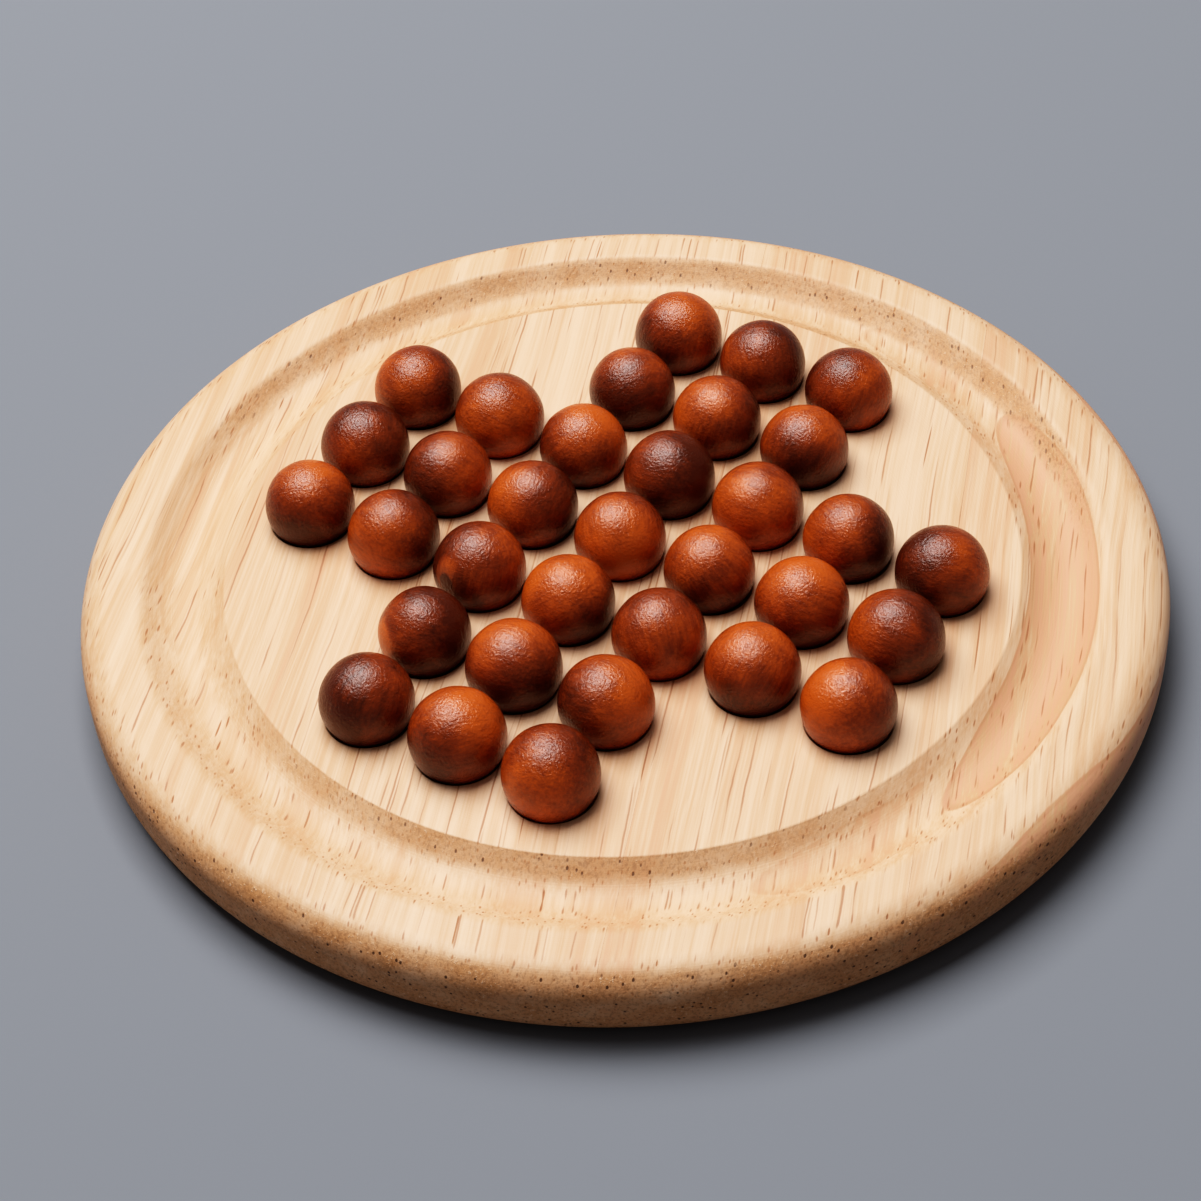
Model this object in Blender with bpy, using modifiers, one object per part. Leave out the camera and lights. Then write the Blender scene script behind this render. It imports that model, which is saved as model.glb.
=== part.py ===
"""Marble solitaire board: a round board glued up from four staves, with a ring groove and 33 seated wooden balls.

The frame's origin is at the middle of the flat underside. +Z is up, +X and +Y run along the rows of cups.
"""

import math

import bmesh
import bpy
from mathutils import Matrix, Vector

OBJECT_NAME = "marble_solitaire_board"

# Driving dimensions, in metres.
PITCH = 0.020  # from one cup's centre to the next
BALL_RADIUS = 0.009
SEAT_DEPTH = 0.005  # how far a ball's lowest point lies below the board's top face
BOARD_RADIUS = 0.1072
BOARD_THICKNESS = 0.016
TOP_EDGE_RADIUS = 0.0048
BOTTOM_EDGE_RADIUS = 0.0064
GROOVE_INNER_RADIUS = 0.0784
GROOVE_OUTER_RADIUS = 0.0948
GROOVE_FLOOR_RADIUS = 0.0100  # the round of the groove's floor, in section
GROOVE_WALL_SLOPE = math.radians(32)  # of the straight walls between the floor and the edges
GAP = 0.0003  # between pieces that touch

# The board is glued up from straight-grained staves. The glue lines run along the grain.
ACROSS_GRAIN_ANGLE = math.radians(19.6)  # from +X to the direction across the staves
GLUE_LINES = (-0.0364, 0.0144, 0.0650)  # how far across each glue line lies from the centre

# The cross of cups: full rows are seven long, and the four arms are three wide.
REACH = 3  # the outermost row or column, counted from the centre
ARM_HALF_WIDTH = 1
COLUMN_LETTERS = "abcdefg"

# How finely the round shapes are faceted.
BOARD_SEGMENTS = 72
FLOOR_STEPS = 4
EDGE_STEPS = 4
BALL_SEGMENTS = 16
BALL_RINGS = 8
CUP_SEGMENTS = 16
CUP_RINGS = 8

# Finishes: linear colour, roughness and metallic value.
STAVE_COLOURS = (
    (0.81, 0.62, 0.41, 1.0),
    (0.78, 0.58, 0.37, 1.0),
    (0.84, 0.66, 0.44, 1.0),
    (0.80, 0.57, 0.39, 1.0),
)
STAVE_ROUGHNESS = 0.5
BALL_COLOUR = (0.24, 0.055, 0.016, 1.0)
BALL_ROUGHNESS = 0.35
WOOD_METALLIC = 0.0

MERGE_DISTANCE = 0.00001


def clear_scene():
    """Removes every object that a new file starts with."""
    for item in list(bpy.data.objects):
        bpy.data.objects.remove(item, do_unlink=True)


def new_collection(name):
    """A collection linked to the scene."""
    collection = bpy.data.collections.new(name)
    bpy.context.scene.collection.children.link(collection)
    return collection


def new_object(name, mesh, collection):
    """An object for a mesh, in a collection."""
    item = bpy.data.objects.new(name, mesh)
    collection.objects.link(item)
    return item


def finish(name, colour, roughness):
    """A plain Principled material."""
    material = bpy.data.materials.new(name)
    material.use_nodes = True
    shader = material.node_tree.nodes["Principled BSDF"]
    shader.inputs["Base Color"].default_value = colour
    shader.inputs["Roughness"].default_value = roughness
    shader.inputs["Metallic"].default_value = WOOD_METALLIC
    return material


def arc(centre, radius, start, end, steps):
    """Points (radius from the axis, height) along an arc, from one angle to another, both ends included."""
    angles = [start + (end - start) * step / steps for step in range(steps + 1)]
    return [(centre[0] + radius * math.cos(a), centre[1] + radius * math.sin(a)) for a in angles]


def board_profile():
    """The turned outline, from the groove's inner edge over the rim and down to the underside."""
    half_width = (GROOVE_OUTER_RADIUS - GROOVE_INNER_RADIUS) / 2
    wall_width = half_width - GROOVE_FLOOR_RADIUS * math.sin(GROOVE_WALL_SLOPE)
    floor_edge_height = BOARD_THICKNESS - wall_width * math.tan(GROOVE_WALL_SLOPE)
    floor_centre = (
        GROOVE_INNER_RADIUS + half_width,
        floor_edge_height + GROOVE_FLOOR_RADIUS * math.cos(GROOVE_WALL_SLOPE),
    )
    down = -math.pi / 2
    floor = arc(floor_centre, GROOVE_FLOOR_RADIUS, down - GROOVE_WALL_SLOPE, down + GROOVE_WALL_SLOPE, FLOOR_STEPS)
    groove = [(GROOVE_INNER_RADIUS, BOARD_THICKNESS), *floor, (GROOVE_OUTER_RADIUS, BOARD_THICKNESS)]
    top_centre = (BOARD_RADIUS - TOP_EDGE_RADIUS, BOARD_THICKNESS - TOP_EDGE_RADIUS)
    top_edge = arc(top_centre, TOP_EDGE_RADIUS, math.pi / 2, 0.0, EDGE_STEPS)
    bottom_centre = (BOARD_RADIUS - BOTTOM_EDGE_RADIUS, BOTTOM_EDGE_RADIUS)
    bottom_edge = arc(bottom_centre, BOTTOM_EDGE_RADIUS, 0.0, down, EDGE_STEPS)
    return groove + top_edge + bottom_edge


def turned_blank(collection):
    """The whole board before it is divided: the outline turned about Z, with its top and underside closed."""
    mesh = bpy.data.meshes.new("board_outline")
    points = [(radius, 0.0, height) for radius, height in board_profile()]
    mesh.from_pydata(points, [(i, i + 1) for i in range(len(points) - 1)], [])
    outline = new_object("board_outline", mesh, collection)
    screw = outline.modifiers.new("turn", "SCREW")
    screw.axis = "Z"
    screw.angle = 2 * math.pi
    screw.steps = BOARD_SEGMENTS
    screw.render_steps = BOARD_SEGMENTS
    screw.use_merge_vertices = True
    screw.merge_threshold = MERGE_DISTANCE
    evaluated = outline.evaluated_get(bpy.context.evaluated_depsgraph_get())
    blank = bpy.data.meshes.new_from_object(evaluated)
    bpy.data.objects.remove(outline, do_unlink=True)
    shape = bmesh.new()
    shape.from_mesh(blank)
    bmesh.ops.remove_doubles(shape, verts=shape.verts, dist=MERGE_DISTANCE)
    bmesh.ops.holes_fill(shape, edges=shape.edges)
    bmesh.ops.recalc_face_normals(shape, faces=shape.faces)
    shape.to_mesh(blank)
    shape.free()
    return blank


def squares():
    """Each cup's name and the place of its centre: columns a to g along +X, rows 1 to 7 along +Y."""
    found = []
    for row in range(-REACH, REACH + 1):
        for column in range(-REACH, REACH + 1):
            if min(abs(row), abs(column)) <= ARM_HALF_WIDTH:
                name = f"{COLUMN_LETTERS[column + REACH]}{row + REACH + 1}"
                found.append((name, Vector((column * PITCH, row * PITCH, ball_height()))))
    return found


def ball_height():
    """The height of a seated ball's centre."""
    return BOARD_THICKNESS - SEAT_DEPTH + BALL_RADIUS


def cup_cutter(collection):
    """One cutter with a ball for each cup. Its flat facets clear the ball by the gap."""
    facet_inset = math.cos(math.pi / CUP_SEGMENTS) * math.cos(math.pi / CUP_RINGS / 2)
    cup_radius = (BALL_RADIUS + GAP) / facet_inset
    shape = bmesh.new()
    for _, centre in squares():
        bmesh.ops.create_uvsphere(
            shape,
            u_segments=CUP_SEGMENTS,
            v_segments=CUP_RINGS,
            radius=cup_radius,
            matrix=Matrix.Translation(centre),
        )
    mesh = bpy.data.meshes.new("cup_cutter")
    shape.to_mesh(mesh)
    shape.free()
    return as_cutter(new_object("cup_cutter", mesh, collection))


def stave_cutter(name, low, high, collection):
    """A box over the whole board's length that keeps what lies between two places across the grain."""
    margin = 2.0  # the box reaches past the board by this many times the board's own size
    shape = bmesh.new()
    size = Matrix.Diagonal((high - low, BOARD_RADIUS * 2 * margin, BOARD_THICKNESS * 2 * margin, 1.0))
    place = Matrix.Translation(((low + high) / 2, 0.0, BOARD_THICKNESS / 2))
    turn = Matrix.Rotation(ACROSS_GRAIN_ANGLE, 4, "Z")
    bmesh.ops.create_cube(shape, size=1.0, matrix=turn @ place @ size)
    mesh = bpy.data.meshes.new(name)
    shape.to_mesh(mesh)
    shape.free()
    return as_cutter(new_object(name, mesh, collection))


def as_cutter(item):
    """Marks an object as a tool that is never shown."""
    item.hide_render = True
    item.display_type = "WIRE"
    return item


def cut(item, cutter, operation):
    """Adds a Boolean to an object."""
    boolean = item.modifiers.new(cutter.name, "BOOLEAN")
    boolean.operation = operation
    boolean.solver = "EXACT"
    boolean.object = cutter


def make_staves(parts, cutters):
    """The four glued staves, from the -X side to the +X side."""
    blank = turned_blank(parts)
    cups = cup_cutter(cutters)
    outside = BOARD_RADIUS + PITCH
    edges = (-outside, *GLUE_LINES, outside)
    for index, colour in enumerate(STAVE_COLOURS):
        name = f"board_stave_{index + 1}"
        low = edges[index] + GAP / 2
        high = edges[index + 1] - GAP / 2
        stave = new_object(name, blank.copy(), parts)
        stave.data.materials.append(finish(f"{name}_wood", colour, STAVE_ROUGHNESS))
        cut(stave, stave_cutter(f"{name}_cutter", low, high, cutters), "INTERSECT")
        cut(stave, cups, "DIFFERENCE")


def make_balls(parts):
    """The 33 loose balls, each seated in its own cup, with its origin at its centre."""
    shape = bmesh.new()
    bmesh.ops.create_uvsphere(shape, u_segments=BALL_SEGMENTS, v_segments=BALL_RINGS, radius=BALL_RADIUS)
    mesh = bpy.data.meshes.new("ball")
    shape.to_mesh(mesh)
    shape.free()
    mesh.shade_smooth()
    for square, centre in squares():
        own_mesh = mesh.copy()
        ball = new_object(f"ball_{square}", own_mesh, parts)
        ball.location = centre
        own_mesh.materials.append(finish(f"{ball.name}_stain", BALL_COLOUR, BALL_ROUGHNESS))
    bpy.data.meshes.remove(mesh)


def main():
    clear_scene()
    parts = new_collection(OBJECT_NAME)
    cutters = new_collection(f"{OBJECT_NAME}_cutters")
    make_staves(parts, cutters)
    make_balls(parts)


main()
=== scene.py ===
"""Marble solitaire board.

Four glued staves of pale wood, turned with a ring groove, and 33 stained wooden balls.
"""

import math
import random

import bmesh
import bpy
from bpy.props import FloatProperty, FloatVectorProperty, IntProperty, PointerProperty
from mathutils import Euler, Matrix, Vector, noise


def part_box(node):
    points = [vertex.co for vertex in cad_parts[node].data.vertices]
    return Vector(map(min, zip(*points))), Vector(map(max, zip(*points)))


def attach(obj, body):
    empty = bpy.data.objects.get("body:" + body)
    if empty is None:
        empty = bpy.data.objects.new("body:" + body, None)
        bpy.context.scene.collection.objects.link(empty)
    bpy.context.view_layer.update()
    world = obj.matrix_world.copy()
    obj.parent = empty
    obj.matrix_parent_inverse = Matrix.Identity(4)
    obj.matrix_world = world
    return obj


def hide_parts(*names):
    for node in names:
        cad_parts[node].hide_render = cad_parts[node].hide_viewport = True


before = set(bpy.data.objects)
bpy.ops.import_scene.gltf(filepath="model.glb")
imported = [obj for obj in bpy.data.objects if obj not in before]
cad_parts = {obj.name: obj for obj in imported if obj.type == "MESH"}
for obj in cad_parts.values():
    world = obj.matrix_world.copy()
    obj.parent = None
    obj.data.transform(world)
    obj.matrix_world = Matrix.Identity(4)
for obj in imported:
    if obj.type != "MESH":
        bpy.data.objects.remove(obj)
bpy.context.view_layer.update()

bl_info = {
    "name": "Marble Solitaire Board",
    "version": (1, 0, 0),
    "blender": (4, 5, 0),
    "location": "3D View > Sidebar > Solitaire",
    "description": "Builds a turned and edge-glued solitaire board with its stained wooden balls",
    "category": "Object",
}

MM = 0.001
UP = math.pi / 2

BOARD_BODY = "board"
STAVES = sorted(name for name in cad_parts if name.startswith("board_stave_"))
BALLS = sorted(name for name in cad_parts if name.startswith("ball_"))
ACROSS_GRAIN = math.radians(19.6)  # from +X to the direction across the staves
LACQUER_IOR = 1.5


def across(point):
    """How far a point lies across the grain, from the board's middle."""
    return point.x * math.cos(ACROSS_GRAIN) + point.y * math.sin(ACROSS_GRAIN)


def stave_edges(name):
    """The lowest and highest place across the grain that a stave of the frame reaches."""
    places = [across(vertex.co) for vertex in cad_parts[name].data.vertices]
    return min(places), max(places)


BOARD_TOP = max(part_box(name)[1].z for name in STAVES)
BOARD_RADIUS = max(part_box(name)[1].x for name in STAVES)
BALL_LOW, BALL_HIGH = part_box("ball_d4")
BALL_RADIUS = (BALL_HIGH.z - BALL_LOW.z) / 2
BALL_HEIGHT = (BALL_HIGH.z + BALL_LOW.z) / 2


# Settings that a user would change ------------------------------------------------------------------


class BoardSettings(bpy.types.PropertyGroup):
    """Sizes and colours of the board."""

    groove_inner: FloatProperty(
        name="Groove inner radius", description="Radius of the groove's inner edge",
        default=0.0784, unit="LENGTH",
    )
    groove_outer: FloatProperty(
        name="Groove outer radius", description="Radius of the groove's outer edge",
        default=0.0948, unit="LENGTH",
    )
    groove_floor: FloatProperty(
        name="Groove floor", description="Round of the groove's floor, in section",
        default=0.0100, unit="LENGTH",
    )
    groove_slope: FloatProperty(
        name="Groove slope", description="Slope of the straight walls above the groove's floor",
        default=math.radians(32), unit="ROTATION",
    )
    inner_lip: FloatProperty(
        name="Inner lip", description="Rounding of the groove's inner edge",
        default=0.0010, unit="LENGTH",
    )
    outer_lip: FloatProperty(
        name="Outer lip", description="Rounding of the groove's outer edge",
        default=0.0050, unit="LENGTH",
    )
    top_edge_width: FloatProperty(
        name="Top edge width", description="How far in the rounding of the rim's upper edge starts",
        default=0.0066, unit="LENGTH",
    )
    top_edge_height: FloatProperty(
        name="Top edge height", description="How far down the rounding of the rim's upper edge reaches",
        default=0.0053, unit="LENGTH",
    )
    bottom_edge: FloatProperty(
        name="Bottom edge", description="Rounding of the rim's lower edge",
        default=0.0064, unit="LENGTH",
    )
    cup_radius: FloatProperty(
        name="Cup radius", description="Radius of the round cutter that made the cups",
        default=0.0096, unit="LENGTH",
    )
    cup_lip: FloatProperty(
        name="Cup lip", description="Rounding of the edge of each cup",
        default=0.0003, unit="LENGTH",
    )
    segments: IntProperty(
        name="Segments", description="Facets round the board", default=360, subtype="UNSIGNED",
    )
    cream: FloatVectorProperty(
        name="Cream", description="The wood's palest fibres",
        default=(0.82, 0.552, 0.374), size=3, subtype="COLOR",
    )
    tan: FloatVectorProperty(
        name="Tan", description="The wood's darker fibres",
        default=(0.67, 0.385, 0.210), size=3, subtype="COLOR",
    )
    rose: FloatVectorProperty(
        name="Rose", description="The wood's pinkish bands",
        default=(0.72, 0.375, 0.230), size=3, subtype="COLOR",
    )
    pore: FloatVectorProperty(
        name="Pore", description="The wood's open pores",
        default=(0.40, 0.155, 0.070), size=3, subtype="COLOR",
    )
    # Besides the end grain's own colour, this paints shade on the groove's outer wall at the far side, away
    # from the key light.
    end_grain: FloatVectorProperty(
        name="End grain", description="The wood where it is cut across its fibres",
        default=(0.57, 0.28, 0.125), size=3, subtype="COLOR",
    )
    pit: FloatVectorProperty(
        name="Pit", description="The inside of a pore that is cut across",
        default=(0.07, 0.03, 0.014), size=3, subtype="COLOR",
    )


class BallSettings(bpy.types.PropertyGroup):
    """Sizes and colours of the balls."""

    facets: IntProperty(
        name="Facets", description="Facets along each side of the cube that becomes a ball",
        default=26, subtype="UNSIGNED",
    )
    unevenness: FloatProperty(
        name="Unevenness", description="How far the turned surface strays from a sphere",
        default=0.00012, unit="LENGTH",
    )
    ripple: FloatProperty(
        name="Ripple", description="How high the small ripples of the turned surface are",
        default=0.00002, unit="LENGTH",
    )
    orange: FloatVectorProperty(
        name="Orange stain", description="The stain where it is thinnest",
        default=(0.58, 0.125, 0.018), size=3, subtype="COLOR",
    )
    chestnut: FloatVectorProperty(
        name="Chestnut stain", description="The stain's middle colour",
        default=(0.275, 0.053, 0.011), size=3, subtype="COLOR",
    )
    chocolate: FloatVectorProperty(
        name="Chocolate stain", description="The stain where it is deepest",
        default=(0.105, 0.0205, 0.006), size=3, subtype="COLOR",
    )


class StageSettings(bpy.types.PropertyGroup):
    """The floor, the lights and the camera."""

    floor_colour: FloatVectorProperty(
        name="Floor", description="Colour of the plain floor",
        default=(0.235, 0.245, 0.27), size=3, subtype="COLOR",
    )
    floor_radius: FloatProperty(
        name="Floor radius", description="How far the plain floor reaches",
        default=8.0, unit="LENGTH",
    )
    key_power: FloatProperty(
        name="Key power", description="Power of the large soft light behind the board, in watts",
        default=31.0,
    )
    sky: FloatProperty(
        name="Sky", description="Strength of the even light from all round",
        default=0.15,
    )
    contrast: FloatProperty(
        name="Contrast", description="How steep the film's curve is in the shadows",
        default=1.6,
    )
    shoulder: FloatProperty(
        name="Shoulder", description="How soon the film's curve bends over towards white",
        default=0.408,
    )
    lens: FloatProperty(
        name="Lens", description="Focal length of the camera in millimetres",
        default=85.1,
    )
    camera_distance: FloatProperty(
        name="Camera distance", description="From the camera to the place it aims at",
        default=0.5448, unit="LENGTH",
    )


# Shader maths ---------------------------------------------------------------------------------------


class Socket:
    """A shader socket that can stand in a sum, so that a pattern reads as a formula."""

    def __init__(self, graph, output):
        self.graph = graph
        self.output = output

    def maths(self, operation, first, second):
        """The Math node, or the Vector Math node if a vector is in the sum."""
        pair = {0: first, 1: second}
        kinds = [item.output.type for item in (first, second) if isinstance(item, Socket)]
        if "VECTOR" in kinds:
            return self.graph.node("ShaderNodeVectorMath", {"operation": operation}, pair)
        return self.graph.node("ShaderNodeMath", {"operation": operation}, pair)

    def __add__(self, other):
        return self.maths("ADD", self, other)

    def __radd__(self, other):
        return self.maths("ADD", other, self)

    def __sub__(self, other):
        return self.maths("SUBTRACT", self, other)

    def __rsub__(self, other):
        return self.maths("SUBTRACT", other, self)

    def __mul__(self, other):
        return self.maths("MULTIPLY", self, other)

    def __rmul__(self, other):
        return self.maths("MULTIPLY", other, self)

    def __truediv__(self, other):
        return self.maths("DIVIDE", self, other)

    def __pow__(self, other):
        return self.maths("POWER", self, other)

    def fraction(self):
        """What is left above the whole number."""
        return self.graph.node("ShaderNodeMath", {"operation": "FRACT"}, {0: self})

    def root(self):
        """The square root."""
        return self.graph.node("ShaderNodeMath", {"operation": "SQRT"}, {0: self})

    def step(self, low, high):
        """0 below low and 1 above high, with a soft step between. It falls if low is the higher."""
        return self.graph.node(
            "ShaderNodeMapRange",
            {"interpolation_type": "SMOOTHSTEP"},
            {"Value": self, "From Min": low, "From Max": high},
        )


class Graph:
    """The nodes of one material."""

    def __init__(self, name):
        self.material = bpy.data.materials.new(name)
        self.material.use_nodes = True
        self.tree = self.material.node_tree
        self.tree.nodes.clear()

    def node(self, kind, settings=None, inputs=None, outputs=(0,)):
        """Any node: its settings are set first, then its sockets get their values or links."""
        made = self.tree.nodes.new(kind)
        for key, value in (settings or {}).items():
            if key == "stops":
                self.set_stops(made.color_ramp, value)
            else:
                setattr(made, key, value)
        for key, value in (inputs or {}).items():
            if isinstance(value, Socket):
                self.tree.links.new(value.output, made.inputs[key])
            elif value is not None:
                made.inputs[key].default_value = value
        found = [Socket(self, made.outputs[key]) for key in outputs]
        return found[0] if len(found) == 1 else found

    @staticmethod
    def set_stops(ramp, stops):
        """The stops of a colour ramp, as (place, colour) pairs."""
        while len(ramp.elements) < len(stops):
            ramp.elements.new(0.5)
        for element, (place, colour) in zip(ramp.elements, stops):
            element.position = place
            element.color = rgba(colour)

    def vector(self, x, y, z):
        """A vector from three numbers or sockets."""
        return self.node("ShaderNodeCombineXYZ", {}, {"X": x, "Y": y, "Z": z})

    def noise(self, place, scale=1.0, detail=2.0, roughness=0.5):
        """Soft noise from 0 to 1 about 0.5."""
        return self.node(
            "ShaderNodeTexNoise", {},
            {"Vector": place, "Scale": scale, "Detail": detail, "Roughness": roughness},
        )

    def cells(self, place):
        """How far a point lies from its cell's centre, and the cell's own random number."""
        distance, colour = self.node(
            "ShaderNodeTexVoronoi", {}, {"Vector": place, "Scale": 1.0}, ("Distance", "Color")
        )
        return distance, self.node("ShaderNodeSeparateColor", {}, {"Color": colour})

    def blend(self, factor, first, second):
        """Two colours mixed. The node's sockets for a colour are 0, 6 and 7, and 2 for the result."""
        first, second = (c if isinstance(c, Socket) else rgba(c) for c in (first, second))
        return self.node("ShaderNodeMix", {"data_type": "RGBA"}, {0: factor, 6: first, 7: second}, (2,))

    def surface(self, steady, changing):
        """Ends the material: values that are the same all over are set, and the others linked."""
        shader = self.node("ShaderNodeBsdfPrincipled", {}, {**steady, **changing}, ("BSDF",))
        self.node("ShaderNodeOutputMaterial", {}, {"Surface": shader}, ())
        return self.material


def rgba(colour):
    """A colour with its alpha."""
    return (*tuple(colour)[:3], 1.0)


# The wood of the board ------------------------------------------------------------------------------


class StaveLook:
    """What makes one stave's timber its own: where it grew in the log and its shade."""

    def __init__(self, seed, pith_across, pith_depth, ring_width, rings, tan, rose):
        self.seed = seed
        self.pith_across = pith_across  # millimetres across the grain from the board's middle
        self.pith_depth = pith_depth  # millimetres that the log's heart lies below the underside
        self.ring_width = ring_width
        self.rings = rings  # how strongly the growth rings show, from 0 to 1
        self.tan = tan  # how dark the stave is as a whole
        self.rose = rose  # how pink the stave is as a whole


STAVE_LOOKS = (
    StaveLook(seed=3, pith_across=-95.0, pith_depth=70.0, ring_width=12.0, rings=0.25, tan=0.10, rose=-0.05),
    StaveLook(seed=11, pith_across=-60.0, pith_depth=120.0, ring_width=11.0, rings=0.0, tan=0.0, rose=0.05),
    StaveLook(seed=24, pith_across=55.0, pith_depth=84.5, ring_width=11.0, rings=0.35, tan=-0.03, rose=0.0),
    StaveLook(seed=37, pith_across=87.0, pith_depth=56.0, ring_width=11.83, rings=1.0, tan=0.0, rose=0.10),
)


def grain_axes(graph, vector):
    """A vector's parts across the staves, along the grain and upwards."""
    turn = {"rotation_type": "Z_AXIS"}
    in_grain = graph.node("ShaderNodeVectorRotate", turn, {"Vector": vector, "Angle": -ACROSS_GRAIN})
    return graph.node("ShaderNodeSeparateXYZ", {}, {"Vector": in_grain}, ("X", "Y", "Z"))


def growth_rings(graph, look, side, along, up):
    """The dark late wood of each ring about the heart of the log, and the fine line where it ends."""
    heart_side = side - look.pith_across
    heart_up = up + look.pith_depth
    sway = graph.noise(graph.vector(side * 0.03, along * 0.012, up * 0.03 + look.seed))
    radius = (heart_side * heart_side + heart_up * heart_up).root() + (sway - 0.5) * 3.0
    age = (radius / look.ring_width).fraction()
    ring_end = age.step(1.0, 0.985)
    return age.step(0.15, 0.85) * ring_end, age.step(0.955, 0.98) * ring_end


def stave_wood(name, look, board):
    """Pale straight-grained wood with open pores, as a solid pattern that every cut surface shows truly.

    Lengths in the pattern are in millimetres, so side * 0.6 has about one streak in 1.7 mm.
    """
    graph = Graph(name)
    place, normal = graph.node("ShaderNodeTexCoord", {}, {}, ("Object", "Normal"))
    side, along, up = (axis / MM for axis in grain_axes(graph, place))
    _, facing_along, _ = grain_axes(graph, normal)

    # The fibres wander a little on their way along the board.
    wander = graph.noise(graph.vector(side * 0.02 + look.seed, along * 0.012, up * 0.03), detail=1.0)
    drift = graph.noise(graph.vector(side * 0.06, along * 0.03, up * 0.05 + look.seed))
    bent_side = side + (wander - 0.5) * 6.0
    bent_up = up + (drift - 0.5) * 1.3 + look.seed * 10.0

    # Broad bands, streaks a few fibres wide, and single fibres.
    rough = {"detail": 3.0, "roughness": 0.6}
    bands = graph.noise(graph.vector(bent_side * 0.13, along * 0.004, bent_up * 0.13), **rough)
    streaks = graph.noise(graph.vector(bent_side * 0.6, along * 0.012, bent_up * 0.6), **rough)
    fibres = graph.noise(graph.vector(bent_side * 2.4, along * 0.04, bent_up * 2.4), **rough)
    darkness = (streaks - 0.5) * 1.9 + (fibres - 0.5) * 1.3 + (bands - 0.5) * 1.7 + look.tan
    rosiness = (bands - 0.5) * 1.8 + (streaks - 0.5) * 0.8 + look.rose

    late_wood, ring_line = growth_rings(graph, look, side, along, up)
    streaky = (streaks - 0.5) * 2.6 + (fibres - 0.5) * 2.4 + 0.60
    rosiness = rosiness + late_wood * streaky * look.rings
    darkness = darkness + late_wood * (0.85 * look.rings)

    colour = graph.blend(darkness.step(-0.7, 0.9), board.cream, board.tan)
    colour = graph.blend(rosiness.step(-0.1, 1.1), colour, board.rose)
    colour = graph.blend(ring_line * (0.22 * look.rings), colour, board.pore)

    # Open pores: fine tubes along the grain that dip in and out of the surface, some thin and some wide.
    waver = (graph.noise(graph.vector(side * 0.3, along * 0.08, up * 0.3), detail=3.0) - 0.5) * 0.9
    thin_spacing, thin_length = 0.8, 230.0
    wide_spacing, wide_length = 1.9, 120.0
    hair, hair_number = graph.cells(
        graph.vector((bent_side + waver) / thin_spacing, along / thin_length, bent_up / thin_spacing)
    )
    flocks = graph.noise(graph.vector(side * 0.16, along * 0.02, up * 0.16 + 3.0))
    hairlines = hair.step(0.34, 0.12) * (hair_number + flocks * 1.6 - 0.8).step(0.05, 0.60)
    tube, tube_number = graph.cells(
        graph.vector(bent_side / wide_spacing, along / wide_length, bent_up / wide_spacing + 7.0)
    )
    tubes = tube.step(0.12, 0.07) * tube_number.step(0.1, 0.5)
    colour = graph.blend(hairlines * 0.75, colour, board.pore)
    colour = graph.blend(tubes * 0.85, colour, board.pore)

    # End grain drinks in the oil, so it is browner: fully on the rim and the groove's inner wall, which
    # slope outwards. The groove's outer wall, which slopes inwards, is kept nearly pale all round, so its
    # near side, which faces the key light, stays bright: painted light.
    dot = {"operation": "DOT_PRODUCT"}
    outward = graph.node("ShaderNodeVectorMath", dot, {0: place, 1: normal}, ("Value",)) / MM
    end = (facing_along * facing_along).step(0.05, 0.33) * (0.08 + outward.step(-5.0, 20.0) * 0.92)
    # Painted shade: the groove's outer wall is browned at the far side only, where it faces the camera and
    # away from the key light.
    end = end + facing_along.step(-0.05, -0.26) * outward.step(5.0, -20.0) * 0.75

    # It has pits where the pores open, and pale torn fibres.
    patches = graph.noise(graph.vector(side * 0.12, along * 0.12, up * 0.25 + 9.0), roughness=0.6)
    torn = graph.noise(graph.vector(side * 1.6, along * 0.9, up * 1.6), detail=3.0, roughness=0.7)
    pit_spacing, pit_depth = 1.3, 5.0
    mouth, mouth_number = graph.cells(graph.vector(side / pit_spacing, along / pit_depth, up / pit_spacing))
    pits = mouth.step(0.24, 0.12) * (mouth_number + patches * 1.2 - 0.6).step(0.30, 0.60) * end
    flecks = torn.step(0.56, 0.70) * patches.step(0.42, 0.62) * end
    colour = graph.blend(end * (0.70 + (patches - 0.5) * 1.4), colour, board.end_grain)
    colour = graph.blend(end * torn.step(0.52, 0.36) * 0.3, colour, board.pit)
    colour = graph.blend(flecks * 0.85, colour, board.cream)
    colour = graph.blend(pits * 0.85, colour, board.pit)

    # The lathe leaves faint rings.
    length = {"operation": "LENGTH"}
    from_middle = graph.node("ShaderNodeVectorMath", length, {0: place}, ("Value",)) / MM
    lathe = graph.noise(from_middle, scale=2.0)
    height = (fibres - 0.5) * 0.5 + (lathe - 0.5) * 0.5 + end * (torn - 0.5) * 1.2
    height = height + flecks * 1.5 - hairlines * 0.4 - tubes - pits * 1.5
    relief = {"Strength": 0.5, "Distance": 0.12 * MM, "Height": height}
    bump = graph.node("ShaderNodeBump", {}, relief)
    roughness = 0.44 + fibres * 0.10 + tubes * 0.2 + end * 0.12
    return graph.surface(
        {"IOR": LACQUER_IOR, "Specular IOR Level": 0.42},
        {"Base Color": colour, "Roughness": roughness, "Normal": bump},
    )


# The shape of the board -----------------------------------------------------------------------------


def arc(centre, radius, start, end, steps):
    """Points (radius from the axis, height) along an arc, both ends included."""
    angles = [start + (end - start) * step / steps for step in range(steps + 1)]
    return [(centre[0] + radius * math.cos(a), centre[1] + radius * math.sin(a)) for a in angles]


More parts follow.
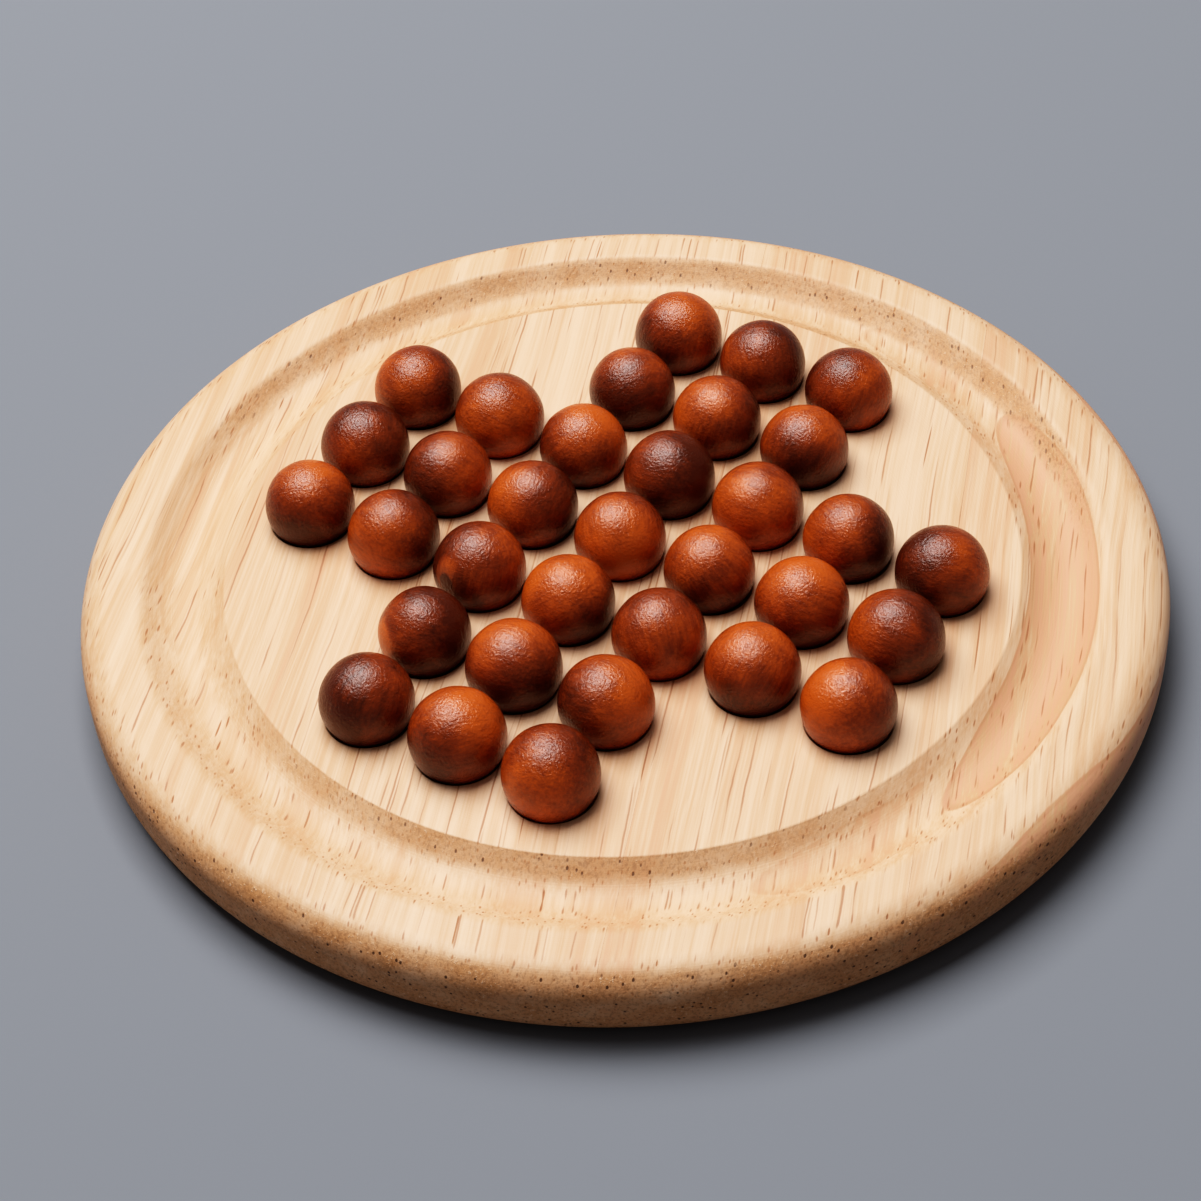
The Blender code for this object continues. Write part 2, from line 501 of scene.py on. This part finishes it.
def board_outline(board):
    """The turned outline from the flat middle over the groove and the rim to the underside."""
    slope = board.groove_slope
    half_width = (board.groove_outer - board.groove_inner) / 2
    wall_width = half_width - board.groove_floor * math.sin(slope)
    floor_height = BOARD_TOP - wall_width * math.tan(slope) + board.groove_floor * math.cos(slope)
    inner = (board.groove_inner - board.inner_lip * math.tan(slope / 2), BOARD_TOP - board.inner_lip)
    floor = (board.groove_inner + half_width, floor_height)
    outer = (board.groove_outer + board.outer_lip * math.tan(slope / 2), BOARD_TOP - board.outer_lip)
    points = arc(inner, board.inner_lip, UP, UP - slope, steps=8)
    points += arc(floor, board.groove_floor, -UP - slope, -UP + slope, steps=20)
    points += arc(outer, board.outer_lip, UP + slope, UP, steps=12)
    width, height = board.top_edge_width, board.top_edge_height
    quarter = arc((0.0, 0.0), 1.0, UP, 0.0, steps=18)
    points += [(BOARD_RADIUS - width + width * x, BOARD_TOP - height + height * z) for x, z in quarter]
    foot = (BOARD_RADIUS - board.bottom_edge, board.bottom_edge)
    points += arc(foot, board.bottom_edge, 0.0, -UP, steps=16)
    return points


def turned(outline, segments, name):
    """A closed body from an outline turned about Z, with its open ends filled."""
    shape = bmesh.new()
    corners = [shape.verts.new((radius, 0.0, height)) for radius, height in outline]
    edges = [shape.edges.new(pair) for pair in zip(corners, corners[1:])]
    bmesh.ops.spin(
        shape, geom=corners + edges, cent=(0, 0, 0), axis=(0, 0, 1),
        angle=2 * math.pi, steps=segments, use_merge=True,
    )
    bmesh.ops.remove_doubles(shape, verts=shape.verts, dist=MM * 0.001)
    bmesh.ops.holes_fill(shape, edges=shape.edges)
    bmesh.ops.recalc_face_normals(shape, faces=shape.faces)
    mesh = bpy.data.meshes.new(name)
    shape.to_mesh(mesh)
    shape.free()
    return mesh


def sawn(mesh, low, high, name):
    """What is left of the board between two glue lines."""
    shape = bmesh.new()
    shape.from_mesh(mesh)
    way = Vector((math.cos(ACROSS_GRAIN), math.sin(ACROSS_GRAIN), 0.0))
    for place, outward in ((low, -1), (high, 1)):
        whole = shape.verts[:] + shape.edges[:] + shape.faces[:]
        sliced = bmesh.ops.bisect_plane(
            shape, geom=whole, plane_co=way * place, plane_no=way * outward,
            clear_outer=True, dist=MM * 0.0001,
        )
        rim = [item for item in sliced["geom_cut"] if isinstance(item, bmesh.types.BMEdge)]
        bmesh.ops.holes_fill(shape, edges=rim)
    bmesh.ops.recalc_face_normals(shape, faces=shape.faces)
    piece = bpy.data.meshes.new(name)
    shape.to_mesh(piece)
    shape.free()
    return piece


def cup_cutter(board):
    """One cutter for all the cups: a round bottom, a softened lip, and a shank that rises above the top."""
    clearance = 0.03 * MM  # under a seated ball
    centre = (0.0, BALL_HEIGHT - BALL_RADIUS - clearance + board.cup_radius)
    lip_height = BOARD_TOP - board.cup_lip
    rise = centre[1] - lip_height
    lip_radius = math.sqrt((board.cup_radius + board.cup_lip) ** 2 - rise**2)
    touch = math.atan2(lip_height - centre[1], lip_radius)
    flare = math.radians(78)  # where the lip meets the flat top, so that no sliver is left there
    outline = arc((lip_radius, lip_height), board.cup_lip, flare, touch + math.pi, steps=5)
    outline += arc(centre, board.cup_radius, touch, -UP, steps=14)[1:]
    edge_radius, edge_height = outline[0]
    run = 0.15 * MM
    outline.insert(0, (edge_radius + run, edge_height + run * math.tan(UP - flare)))
    outline.insert(0, (edge_radius + run, BOARD_TOP + 1 * MM))
    mesh = turned(outline[:-1], 48, "cup_cutter")
    shape = bmesh.new()
    for name in BALLS:
        low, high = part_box(name)
        copy = mesh.copy()
        copy.transform(Matrix.Translation(((low.x + high.x) / 2, (low.y + high.y) / 2, 0.0)))
        shape.from_mesh(copy)
        bpy.data.meshes.remove(copy)
    shape.to_mesh(mesh)
    shape.free()
    return place_object("cup_cutter", mesh)


def place_object(name, data, location=(0, 0, 0), rotation=(0, 0, 0)):
    """An object in the scene, for a mesh, a lamp or a camera."""
    item = bpy.data.objects.new(name, data)
    item.location = location
    item.rotation_euler = rotation
    bpy.context.scene.collection.objects.link(item)
    return item


def apply_modifiers(item):
    """Turns an object's modifiers into its mesh."""
    bpy.context.view_layer.update()
    evaluated = item.evaluated_get(bpy.context.evaluated_depsgraph_get())
    made = bpy.data.meshes.new_from_object(evaluated)
    item.modifiers.clear()
    old = item.data
    item.data = made
    bpy.data.meshes.remove(old)


class SOLITAIRE_OT_staves(bpy.types.Operator):
    """Makes the four glued staves of the board."""

    bl_idname = "solitaire.staves"
    bl_label = "Glued staves"

    def execute(self, context):
        board = context.scene.solitaire_board
        blank = turned(board_outline(board), board.segments, "blank")
        cutter = cup_cutter(board)
        edges = [stave_edges(name) for name in STAVES]
        beyond = 2 * BOARD_RADIUS
        glue_lines = [(one[1] + next_one[0]) / 2 for one, next_one in zip(edges, edges[1:])]
        cuts = [-beyond, *glue_lines, beyond]
        hairline = 0.01 * MM  # half the gap that a glue line takes
        sharp = math.radians(40)  # edges that turn by more than this are not smoothed over
        for index, (name, look) in enumerate(zip(STAVES, STAVE_LOOKS)):
            low, high = cuts[index] + hairline, cuts[index + 1] - hairline
            mesh = sawn(blank, low, high, f"glued_stave_{index + 1}")
            stave = place_object(mesh.name, mesh)
            cut = stave.modifiers.new("cups", "BOOLEAN")
            cut.operation = "DIFFERENCE"
            cut.solver = "EXACT"
            cut.object = cutter
            apply_modifiers(stave)
            stave.data.shade_smooth()
            stave.data.set_sharp_from_angle(angle=sharp)
            even = stave.modifiers.new("even_normals", "WEIGHTED_NORMAL")
            even.weight = 100
            even.keep_sharp = True
            apply_modifiers(stave)
            stave.data.materials.clear()
            stave.data.materials.append(stave_wood(f"pale_wood_{index + 1}", look, board))
            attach(stave, BOARD_BODY)
            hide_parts(name)
        bpy.data.objects.remove(cutter, do_unlink=True)
        return {"FINISHED"}


# The balls ------------------------------------------------------------------------------------------

# Sides of a ball, as the heading from +X and the height above the horizon, in degrees.
SIDES = {
    "back": (110, 60),
    "front": (-61, 5),
    "left": (225, 25),
    "right": (10, 20),
    "back_left": (200, 55),
    "back_right": (40, 50),
    "front_left": (262, 5),
    "front_right": (-22, 5),
}

# How deep each ball's stain is, from 0 for orange to 1 for chocolate, and the side that took less of it.
STAINS = {
    "c7": (0.50, "back_right"), "d7": (0.72, "front_left"), "e7": (0.66, "front_right"),
    "c6": (0.74, "back"), "d6": (0.48, "left"), "e6": (0.60, "back"),
    "a5": (0.50, "left"), "b5": (0.38, "front"), "c5": (0.42, "back_right"), "d5": (0.90, "left"),
    "e5": (0.34, "front_left"), "f5": (0.62, "left"), "g5": (0.76, "right"),
    "a4": (0.74, "front"), "b4": (0.62, "right"), "c4": (0.52, "left"), "d4": (0.32, "front"),
    "e4": (0.48, "back"), "f4": (0.36, "back"), "g4": (0.66, "left"),
    "a3": (0.58, "back"), "b3": (0.50, "front_left"), "c3": (0.68, "right"), "d3": (0.46, "back_left"),
    "e3": (0.54, "front"), "f3": (0.44, "back"), "g3": (0.42, "left"),
    "c2": (0.84, "left"), "d2": (0.56, "back"), "e2": (0.46, "right"),
    "c1": (0.92, "right"), "d1": (0.46, "back_right"), "e1": (0.50, "front_left"),
}


# Marks on single balls: heading from +X and height above the horizon in degrees, how wide a mark is in
# radians, and how much deeper the stain is there, or shallower if below zero.
MARKS = {
    "c3": ((247, 22, 0.42, -0.50), (254, 14, 0.20, 1.6)),
    "c2": ((236, 18, 0.45, -0.90),),
}


def heading(turn, tilt):
    """A direction from its heading and its height above the horizon, in degrees."""
    turn, tilt = math.radians(turn), math.radians(tilt)
    return Vector((math.cos(turn) * math.cos(tilt), math.sin(turn) * math.cos(tilt), math.sin(tilt)))


def ball_mesh(name, settings, depth, light_side, marks, draw):
    """A turned ball, a little uneven, that carries how deep its stain is, with painted light and shade, and
    where it grew in the log.
    """
    shape = bmesh.new()
    bmesh.ops.create_cube(shape, size=2.0)
    bmesh.ops.subdivide_edges(shape, edges=shape.edges, cuts=settings.facets - 1, use_grid_fill=True)
    seed = Vector([draw.uniform(-50, 50) for _ in range(3)])
    turn = Euler([draw.uniform(-math.pi, math.pi) for _ in range(3)]).to_matrix()
    size = BALL_RADIUS * (1 + draw.uniform(-0.010, 0.022))
    squash = draw.uniform(-0.012, 0.012)
    stain_and_shade_depths = []
    places = []
    for vertex in shape.verts:
        way = Vector([math.tan(axis * math.pi / 4) for axis in vertex.co]).normalized()
        lump = noise.noise(way * 1.6 + seed) * settings.unevenness
        lump += noise.noise(way * 5 + seed) * settings.ripple
        vertex.co = way * (size * (1 + squash * way.dot(turn.row[2]) ** 2) + lump)
        cloud = noise.noise(way * 1.3 + seed * 2) + 0.5 * noise.noise(way * 3.1 - seed)
        # The stain is also made deeper towards the bottom and shallower towards the top: painted shade
        # underneath and painted light on top.
        deep = depth + 0.30 * cloud - 0.46 * (way.dot(light_side) - 0.3) - 0.14 * (way.z - 0.5)
        for place, width, change in marks:
            away = way.angle(place) / width + 0.3 * cloud
            deep += change * max(0.0, min(1.0, 2.0 - 2.0 * away))
        stain_and_shade_depths.append(deep)
        places.extend(turn @ vertex.co / MM + seed)
    rise = BALL_RADIUS - max(-vertex.co.z for vertex in shape.verts)
    mesh = bpy.data.meshes.new(name)
    shape.to_mesh(mesh)
    shape.free()
    mesh.shade_smooth()
    mesh.attributes.new("stain_depth", "FLOAT", "POINT").data.foreach_set("value", stain_and_shade_depths)
    mesh.attributes.new("wood_place", "FLOAT_VECTOR", "POINT").data.foreach_set("vector", places)
    return mesh, -rise


def ball_stain(settings):
    """Red-brown stain that sank unevenly into the wood, with painted light and shade, under a satin lacquer.
    """
    graph = Graph("red_brown_stain")
    depth = graph.node("ShaderNodeAttribute", {"attribute_name": "stain_depth"}, {}, ("Fac",))
    place = graph.node("ShaderNodeAttribute", {"attribute_name": "wood_place"}, {}, ("Vector",))
    x, y, z = graph.node("ShaderNodeSeparateXYZ", {}, {"Vector": place}, ("X", "Y", "Z"))
    grain = graph.noise(graph.vector(x * 1.2, y * 1.2, z * 0.16), detail=4.0, roughness=0.65)
    mottle = graph.noise(place, scale=1.2, detail=4.0, roughness=0.65)
    deep = depth + (grain - 0.5) * 0.8 + (mottle - 0.5) * 0.4
    colour = graph.node(
        "ShaderNodeValToRGB",
        {"stops": ((0.05, settings.orange), (0.55, settings.chestnut), (1.0, settings.chocolate))},
        {"Fac": deep},
    )
    pimples = graph.noise(place, scale=1.9, detail=3.0, roughness=0.6)
    dents = graph.noise(place, scale=0.7)
    height = pimples * 1.2 + dents * 0.4 + grain * 0.5
    relief = {"Strength": 0.8, "Distance": 0.2 * MM, "Height": height}
    bump = graph.node("ShaderNodeBump", {}, relief)
    roughness = 0.20 + (pimples - 0.5) * 0.2 + (mottle - 0.5) * 0.1
    return graph.surface(
        {"IOR": LACQUER_IOR, "Specular IOR Level": 0.66},
        {"Base Color": colour, "Roughness": roughness, "Normal": bump},
    )


class SOLITAIRE_OT_balls(bpy.types.Operator):
    """Makes the 33 stained balls, each turned its own way in its cup."""

    bl_idname = "solitaire.balls"
    bl_label = "Stained balls"

    def execute(self, context):
        settings = context.scene.solitaire_balls
        stain = ball_stain(settings)
        for index, name in enumerate(BALLS):
            draw = random.Random(index + 101)
            square = name.removeprefix("ball_")
            depth, side = STAINS[square]
            marks = [(heading(turn, tilt), *rest) for turn, tilt, *rest in MARKS.get(square, ())]
            mesh, rise = ball_mesh(f"stained_{name}", settings, depth, heading(*SIDES[side]), marks, draw)
            mesh.materials.append(stain)
            low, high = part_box(name)
            ball = place_object(mesh.name, mesh, (low + high) / 2 + Vector((0, 0, rise)))
            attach(ball, name)
            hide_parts(name)
        return {"FINISHED"}


# The stage ------------------------------------------------------------------------------------------


def direction(azimuth, elevation):
    """A direction from the board, azimuth 0 being towards -Y and 90 towards +X, in degrees."""
    turn, tilt = math.radians(azimuth), math.radians(elevation)
    return Vector((math.sin(turn) * math.cos(tilt), -math.cos(turn) * math.cos(tilt), math.sin(tilt)))


def facing(back, roll=0.0):
    """The rotation that looks against a direction, rolled about it."""
    return ((-back).to_track_quat("-Z", "Y").to_matrix().to_4x4() @ Matrix.Rotation(roll, 4, "Z")).to_euler()


def soft_light(name, azimuth, elevation, distance, size, power):
    """A square soft box that faces the board."""
    lamp = bpy.data.lights.new(name, "AREA")
    lamp.shape = "SQUARE"
    lamp.size = size
    lamp.energy = power
    back = direction(azimuth, elevation)
    return place_object(name, lamp, back * distance, facing(back))


def film_curve(view, contrast, shoulder):
    """A film's response: deep shadows, clear middle tones and highlights that bend over softly."""
    view.view_transform = "Standard"
    view.use_curve_mapping = True
    mapping = view.curve_mapping
    white = 1.117  # the light that comes out as pure white
    mapping.white_level = (white, white, white)
    gain = (white**contrast + shoulder) / white**contrast
    all_colours = mapping.curves[3]
    for light in (0.01, 0.03, 0.06, 0.12, 0.2, 0.3, 0.45, 0.6, 0.8):
        response = gain * light**contrast / (light**contrast + shoulder)
        all_colours.points.new(light / white, response)
    mapping.update()


class SOLITAIRE_OT_stage(bpy.types.Operator):
    """Makes the plain floor, the soft studio light and the camera."""

    bl_idname = "solitaire.stage"
    bl_label = "Stage"

    def execute(self, context):
        stage = context.scene.solitaire_stage
        shape = bmesh.new()
        bmesh.ops.create_circle(shape, cap_ends=True, radius=stage.floor_radius, segments=96)
        mesh = bpy.data.meshes.new("floor")
        shape.to_mesh(mesh)
        shape.free()
        floor = place_object("floor", mesh)
        matt = {"Base Color": rgba(stage.floor_colour), "Roughness": 0.9, "Specular IOR Level": 0.2}
        mesh.materials.append(Graph("floor_paint").surface(matt, {}))
        soft_light(
            "key_light", azimuth=243.0, elevation=67.0, distance=1.6, size=1.25, power=stage.key_power,
        )
        world = bpy.data.worlds.new("studio")
        world.use_nodes = True
        sky = world.node_tree.nodes["Background"]
        sky.inputs["Color"].default_value = (1.0, 1.0, 1.0, 1.0)
        sky.inputs["Strength"].default_value = stage.sky
        context.scene.world = world
        film_curve(context.scene.view_settings, stage.contrast, stage.shoulder)
        lens = bpy.data.cameras.new("camera")
        lens.lens = stage.lens
        lens.clip_start = 0.01
        aim = Vector((5.45 * MM, -17.01 * MM, BALL_HEIGHT))
        back = direction(azimuth=32.67, elevation=44.34)
        roll = math.radians(-3.68)
        stand = aim + back * stage.camera_distance
        context.scene.camera = place_object("camera", lens, stand, facing(back, roll))
        return {"FINISHED"}


class SOLITAIRE_PT_panel(bpy.types.Panel):
    """The steps that build the board, in order."""

    bl_idname = "SOLITAIRE_PT_panel"
    bl_label = "Solitaire board"
    bl_space_type = "VIEW_3D"
    bl_region_type = "UI"
    bl_category = "Solitaire"

    def draw(self, context):
        for step in STEPS:
            self.layout.operator(step.bl_idname)


STEPS = (SOLITAIRE_OT_stage, SOLITAIRE_OT_staves, SOLITAIRE_OT_balls)
SETTINGS = {
    "solitaire_board": BoardSettings,
    "solitaire_balls": BallSettings,
    "solitaire_stage": StageSettings,
}
CLASSES = (*SETTINGS.values(), *STEPS, SOLITAIRE_PT_panel)


def register():
    for item in CLASSES:
        bpy.utils.register_class(item)
    for name, group in SETTINGS.items():
        setattr(bpy.types.Scene, name, PointerProperty(type=group))


def unregister():
    for name in SETTINGS:
        delattr(bpy.types.Scene, name)
    for item in reversed(CLASSES):
        bpy.utils.unregister_class(item)


def main():
    register()
    bpy.ops.solitaire.stage()
    bpy.ops.solitaire.staves()
    bpy.ops.solitaire.balls()
    bpy.context.view_layer.update()


if __name__ == "__main__":
    main()
